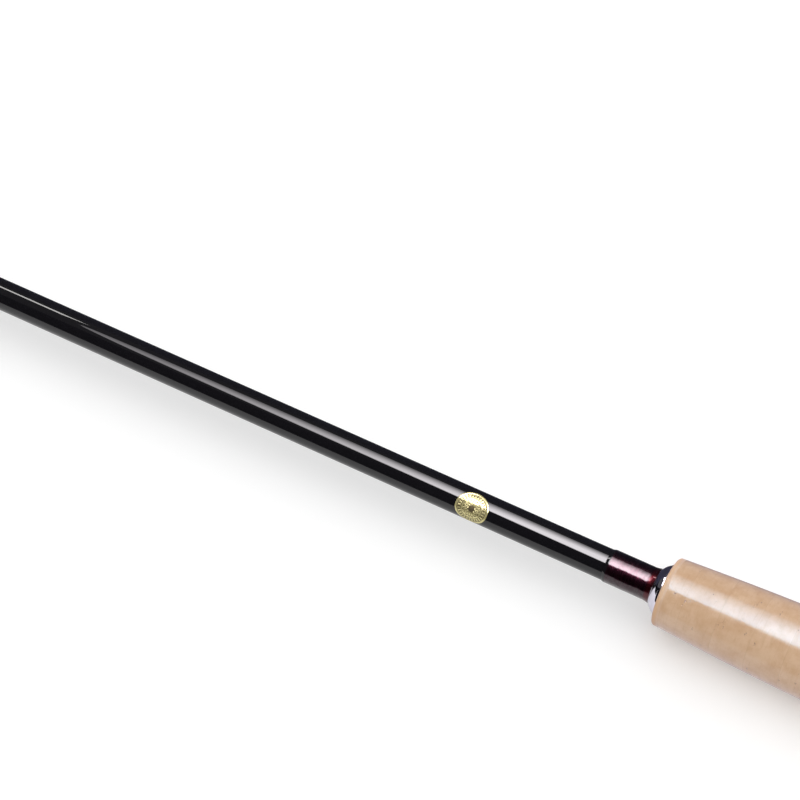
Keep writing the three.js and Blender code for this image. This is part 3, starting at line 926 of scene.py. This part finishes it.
paths = []
for way in (1, -1):
    for strand in range(strands_each_way):
        path = []
        count = round(braid_length / braid_turn * steps_per_turn)
        for step in range(count + 1):
            travel = braid_length * step / count
            angle = way * (math.tau * travel / braid_turn) + math.tau * strand / strands_each_way
            wave = math.cos(strands_each_way * math.tau * travel / braid_turn)
            radius = braid_middle + way * braid_wave * wave
            y = radius * math.cos(angle)
            path.append((lilian_high.x - travel, y, axis_height + radius * math.sin(angle)))
        paths.append(path)
braid = laid("braided_lilian", strand_radius, paths, False)
path = []
for step in range(knot_steps):
    turn_round = math.tau * step / knot_steps
    x = knot_middle + knot_size * knot_stretch * math.sin(3 * turn_round)
    y = knot_size * (math.sin(turn_round) + 2 * math.sin(2 * turn_round))
    z = knot_size * (math.cos(turn_round) - 2 * math.cos(2 * turn_round))
    path.append((x, y, axis_height + z))
knot = laid("lilian_knot", knot_strand, [path], True)
bpy.ops.object.select_all(action="DESELECT")
knot.select_set(True)
braid.select_set(True)
bpy.context.view_layer.objects.active = braid
bpy.ops.object.join()
smoothed(braid, strand_smooth_angle)
soft_sheen = {"Sheen Weight": 0.3, "Sheen Roughness": 0.4}
red_braid, recipe = finish("red_braid", {**soft_sheen, "Specular IOR Level": 0.3})
fibre_place = recipe.vector(recipe.x * 9000, recipe.angle * 40, recipe.y * 9000)
fibre = recipe.noise(fibre_place, scale=1.0)
recipe.feed(
    recipe.shader,
    {
        "Base Color": recipe.mixed(fibre, nylon_dark, nylon_light),
        "Roughness": 0.55 + 0.2 * fibre,
        "Normal": recipe.bump(fibre, distance=0.02 * mm),
    },
)
dressed(braid, red_braid, "tip_section", "braid", "lilian")

# Tip plug: moulded in black plastic with finger grooves and a bore that the lilian stands in. Its
# stem is pushed into the blank's mouth. The gate that it was filled through left a dimple in its
# nose.
plug_facets = 128
plug_edge = 0.12 * mm
gate_dimple = 0.3 * mm
gate_stub = 0.12 * mm
gate_radii = (1.5 * mm, 1.15 * mm, 0.45 * mm, 0.4 * mm)
plastic_dark = colour(24, 24, 26)
plastic_rubbed = colour(34, 34, 36)

outline, ring = outline_of("tip_plug")
nose_x = outline[-1][0]
gate_places = (nose_x, nose_x + gate_dimple, nose_x + gate_dimple, nose_x + gate_stub)
outline[-1:-1] = zip(gate_places, gate_radii)
plug = turned("moulded_plug", outline, ring, plug_facets)
bevelled(plug, plug_edge)
moulded, recipe = finish("moulded_black", {"Specular IOR Level": 0.5})
spark = recipe.noise(recipe.place, scale=6000.0)
handling = recipe.noise(recipe.place, scale=260.0)
recipe.feed(
    recipe.shader,
    {
        "Base Color": recipe.mixed(handling, plastic_dark, plastic_rubbed),
        "Roughness": 0.42 + 0.1 * spark + 0.06 * handling,
        "Normal": recipe.bump(spark, distance=0.015 * mm),
    },
)
dressed(plug, moulded, "tip_plug", "moulded", "tip_plug")

# Rubber rings: one under the butt cap's head and two on the plug's stem, moulded in two halves,
# which leaves a fine ridge inside and outside.
rubber_facets = 128
rubber_smooth_angle = 50
section_steps = 28
ridge = 0.02 * mm
rubber_bodies = {"cap_o_ring": "cap_seal", "plug_o_ring_1": "tip_plug", "plug_o_ring_2": "tip_plug"}
rubber_black = colour(22, 22, 23)
rubber_bloom = colour(40, 40, 42)

rubber, recipe = finish("black_rubber", {"Specular IOR Level": 0.4})
bloom = recipe.noise(recipe.place, scale=1200.0, detail=3.0)
recipe.feed(
    recipe.shader,
    {
        "Base Color": recipe.mixed(bloom.rising(0.45, 0.8), rubber_black, rubber_bloom),
        "Roughness": 0.6 + 0.15 * bloom,
        "Normal": recipe.bump(bloom, distance=0.01 * mm),
    },
)
for node, body in rubber_bodies.items():
    corners, ring = outline_of(node)
    places = [corner[0] for corner in corners]
    radii = [corner[1] for corner in corners]
    thickness = max(radii) - min(radii)
    middle = ((max(places) + min(places)) / 2, (max(radii) + min(radii)) / 2)
    outline = []
    for step in range(section_steps):
        bend = math.tau * step / section_steps
        on_ridge = step % (section_steps // 2) == 0
        reach = thickness / 2 - (0 if on_ridge else ridge)
        outline.append((middle[0] + reach * math.sin(bend), middle[1] + reach * math.cos(bend)))
    piece = turned(node.replace("o_ring", "rubber_ring"), outline, ring, rubber_facets)
    smoothed(piece, rubber_smooth_angle)
    dressed(piece, rubber, body, "rubber", node)

# Section cushion: a grooved rubber disc, pressed into the recess of the cap's stem. The closed
# sections stand on it, so that they don't rattle or chip.
groove_depth = 0.2 * mm
groove_half_width = 0.2 * mm
groove_radii = (2.0 * mm, 2.9 * mm, 3.8 * mm)
cushion_edge = 0.12 * mm

corners, ring = outline_of("section_cushion")
front = min(corner[0] for corner in corners)
rear = max(corner[0] for corner in corners)
hole = min(corner[1] for corner in corners)
rim = max(corner[1] for corner in corners)
outline = [(rear, rim), (rear, hole), (front, hole)]
for radius in groove_radii:
    outline.append((front, radius - groove_half_width))
    outline.append((front + groove_depth, radius))
    outline.append((front, radius + groove_half_width))
outline.append((front, rim))
cushion = turned("grooved_cushion", outline, ring, rubber_facets)
bevelled(cushion, cushion_edge)
dressed(cushion, rubber, "butt_cap", "rubber", "section_cushion")

# Butt cap: turned from aluminium bar with a knurled head, threaded, slotted for a coin and drilled
# so that water drains, then anodised black.
cap_facets = 240
knurl_count = 40
knurl_depth = 0.45 * mm
cap_rear_chamfer = 0.8 * mm
cap_front_chamfer = 0.4 * mm
cap_head_length = 4.8 * mm
cap_groove_length = 1.2 * mm
cap_groove_radius = 4.8 * mm
cap_stem_radius = 5.45 * mm
cap_recess_radius = 4.65 * mm
cap_recess_depth = 2.2 * mm
cap_drain_radius = 1.1 * mm
drain_flare = 0.3 * mm
slot_width = 1.8 * mm
slot_length = 12.5 * mm
slot_depth = 1.8 * mm
slot_end_round = 0.8 * mm
slot_end_steps = 6
slot_flare = 0.15 * mm
slot_overrun = 1.0 * mm
facing_rear = 0.99
cap_smooth_angle = 32

cap_low, cap_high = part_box("butt_cap")
cap_radius = (cap_high.z - cap_low.z) / 2
head_front = cap_high.x - cap_head_length
thread_rear = head_front - cap_groove_length
stem_chamfer = screw_depth
thread_front = cap_low.x + stem_chamfer
recess_end = cap_low.x + cap_recess_depth
outline = [
    (cap_high.x - drain_flare, cap_drain_radius),
    (cap_high.x, cap_drain_radius + drain_flare),
    (cap_high.x, cap_radius - cap_rear_chamfer),
    (cap_high.x - cap_rear_chamfer, cap_radius),
    (head_front + cap_front_chamfer, cap_radius),
    (head_front, cap_radius - cap_front_chamfer),
    (head_front, cap_groove_radius),
    (thread_rear, cap_groove_radius),
    (thread_rear, cap_stem_radius),
    *along((thread_rear, cap_stem_radius), (thread_front, cap_stem_radius)),
    (thread_front, cap_stem_radius),
    (cap_low.x, cap_stem_radius - stem_chamfer),
    (cap_low.x, cap_recess_radius),
    (recess_end, cap_recess_radius),
    (recess_end, cap_drain_radius),
]
cap = turned("knurled_cap", outline, True, cap_facets)
bevelled(cap, ferrule_edge)


def knurled_and_threaded(x, radius, angle):
    if x > head_front - ferrule_edge:
        return min(radius, cap_radius - knurl_depth * (1 - math.cos(knurl_count * angle)) / 2)
    if radius > cap_stem_radius - nearly and thread_front < x < thread_rear:
        return radius - screw_dip(x, angle, thread_front, thread_rear)
    return radius


reshaped(cap, knurled_and_threaded)


def picked(piece, kind, rule):
    """Enters edit mode with those edges or faces of the piece selected that the rule picks."""
    bpy.context.view_layer.objects.active = piece
    bpy.ops.object.mode_set(mode="EDIT")
    bpy.ops.mesh.select_mode(type=kind)
    bpy.ops.mesh.select_all(action="DESELECT")
    bpy.ops.object.mode_set(mode="OBJECT")
    for part in piece.data.edges if kind == "EDGE" else piece.data.polygons:
        part.select = rule(part)
    bpy.ops.object.mode_set(mode="EDIT")


def lies_along(edge):
    first, second = (cutter.data.vertices[index].co.x for index in edge.vertices)
    return abs(first - second) > slot_flare


bpy.ops.object.select_all(action="DESELECT")
straight_depth = slot_depth - slot_flare
middle = (cap_high.x - slot_flare - straight_depth / 2, 0, axis_height)
cutter_size = (straight_depth, slot_length, slot_width)
bpy.ops.mesh.primitive_cube_add(size=1, location=middle, scale=cutter_size)
bpy.ops.object.transform_apply(location=True, rotation=True, scale=True)
cutter = bpy.context.object
picked(cutter, "EDGE", lies_along)
bpy.ops.mesh.bevel(offset=slot_end_round, segments=slot_end_steps)
bpy.ops.object.mode_set(mode="OBJECT")
picked(cutter, "FACE", lambda face: face.normal.x > facing_rear)
bpy.ops.mesh.extrude_region_move(TRANSFORM_OT_translate={"value": (slot_flare, 0, 0)})
flare = (1, 1 + 2 * slot_flare / slot_length, 1 + 2 * slot_flare / slot_width)
bpy.ops.transform.resize(value=flare, center_override=(cap_high.x, 0, axis_height))
bpy.ops.mesh.extrude_region_move(TRANSFORM_OT_translate={"value": (slot_overrun, 0, 0)})
bpy.ops.mesh.select_all(action="SELECT")
bpy.ops.mesh.normals_make_consistent(inside=False)
bpy.ops.object.mode_set(mode="OBJECT")
cut = cap.modifiers.new("coin_slot", "BOOLEAN")
cut.operation = "DIFFERENCE"
cut.solver = "EXACT"
cut.object = cutter
bpy.context.view_layer.objects.active = cap
bpy.ops.object.modifier_apply(modifier=cut.name)
bpy.data.objects.remove(cutter)
smoothed(cap, cap_smooth_angle)
dressed(cap, anodised, "butt_cap", "anodised", "butt_cap")

# Seal: a round sticker of gold foil, pressed on the finished blank and wrapped round it. Its rim
# and rings are embossed, with plain ticks and a rosette between them.
seal_radius = 5.9 * mm
seal_foil = 0.05 * mm
seal_glue = 0.01 * mm
seal_place = -55.2 * mm
seal_lean = math.radians(44)
seal_facets = 96
seal_smooth_angle = 50
seal_rim_shares = (1, 0.985, 0.965, 0.945, 0.925, 0.905)
seal_tick_shares = (0.88, 0.85, 0.8, 0.74, 0.68)
seal_ring_shares = (0.64, 0.62, 0.6, 0.58, 0.56)
seal_core_shares = (0.5, 0.43, 0.36, 0.29, 0.22, 0.15, 0.08)
rim_share = 0.945
rim_width_share = 0.06
rim_height = 0.09 * mm
inner_ring_share = 0.6
inner_ring_width_share = 0.03
inner_ring_height = 0.03 * mm
tick_count = 28
tick_band = (0.68, 0.82, 0.01)
petal_waves = 4
petal_reach, petal_swing = 0.14, 0.38
petal_edge = (0.05, 0.03)
leaf_reach, leaf_swing = 0.5, 0.3
leaf_edge = (0.045, 0.025)
heart_edge = (0.2, 0.18)
rosette_edge = (0.55, 0.54)
outer_line = (0.85, 0.88, 0.008)
inner_line = (0.62, 0.65, 0.006)
gold_light = colour(216, 206, 150)
gold_dark = colour(204, 193, 136)
pressed_brown = colour(66, 56, 28)

bpy.ops.object.select_all(action="DESELECT")
bpy.ops.mesh.primitive_circle_add(vertices=seal_facets, radius=seal_radius, fill_type="NGON")
seal = bpy.context.object
seal.name = "foil_seal"
bpy.ops.object.mode_set(mode="EDIT")
bpy.ops.mesh.select_all(action="SELECT")
shares = seal_rim_shares + seal_tick_shares + seal_ring_shares + seal_core_shares
for outer, inner in zip(shares, shares[1:]):
    bpy.ops.mesh.inset(thickness=(outer - inner) * seal_radius)
bpy.ops.mesh.poke()
bpy.ops.object.mode_set(mode="OBJECT")
seal_map = seal.data.uv_layers.new(name="seal_map")
for loop in seal.data.loops:
    flat = seal.data.vertices[loop.vertex_index].co / seal_radius
    seal_map.data[loop.index].uv = (flat.x / 2 + 0.5, flat.y / 2 + 0.5)


def embossed(share, middle, width, height):
    return height * max(0, math.cos(math.pi / 2 * min(1, abs(share - middle) / width)))


for vertex in seal.data.vertices:
    share = vertex.co.length / seal_radius
    relief = embossed(share, rim_share, rim_width_share, rim_height)
    relief += embossed(share, inner_ring_share, inner_ring_width_share, inner_ring_height)
    x, surface = over_blank(seal_place + vertex.co.x, 0)
    lean = seal_lean + vertex.co.y / surface
    reach = surface + seal_glue + seal_foil + relief
    vertex.co = (x, -reach * math.sin(lean), axis_height + reach * math.cos(lean))
bpy.ops.object.mode_set(mode="EDIT")
bpy.ops.mesh.select_all(action="SELECT")
bpy.ops.mesh.flip_normals()
bpy.ops.object.mode_set(mode="OBJECT")
foil_depth = seal.modifiers.new("foil", "SOLIDIFY")
foil_depth.thickness = seal_foil
foil_depth.offset = -1
bpy.context.view_layer.objects.active = seal
bpy.ops.object.modifier_apply(modifier=foil_depth.name)
smoothed(seal, seal_smooth_angle)

gold_foil, recipe = finish("gold_foil", {"Metallic": 0.45})
flat = recipe.node("UVMap", {"uv_map": "seal_map"}, {})
across = recipe.part(flat, "X") * 2 - 1
up = recipe.part(flat, "Y") * 2 - 1
share = (across * across + up * up) ** 0.5
turn_round = up.math("ARCTAN2", up, across)
ticks = (turn_round * tick_count).sine().rising(0.0, 0.3) * share.band(*tick_band)
wave = (turn_round * petal_waves).sine()
petals = abs(share - (petal_reach + petal_swing * wave * wave)).rising(*petal_edge)
leaves = abs(share - (leaf_reach - leaf_swing * wave * wave)).rising(*leaf_edge)
heart = share.rising(*heart_edge)
rosette = petals.most(leaves).most(heart) * share.rising(*rosette_edge)
rings = share.band(*outer_line).most(share.band(*inner_line))
pressed = ticks.most(rosette).most(rings)
crinkle = recipe.noise(recipe.place, scale=700.0)
gold = recipe.mixed(crinkle.rising(0.3, 0.7), gold_light, gold_dark)
recipe.feed(
    recipe.shader,
    {
        "Base Color": recipe.mixed(pressed, gold, pressed_brown),
        "Roughness": 0.13 + 0.04 * crinkle + 0.4 * pressed,
        "Normal": recipe.bump(0.1 * crinkle - pressed, distance=0.025 * mm),
    },
)
dressed(seal, gold_foil, "handle", None)
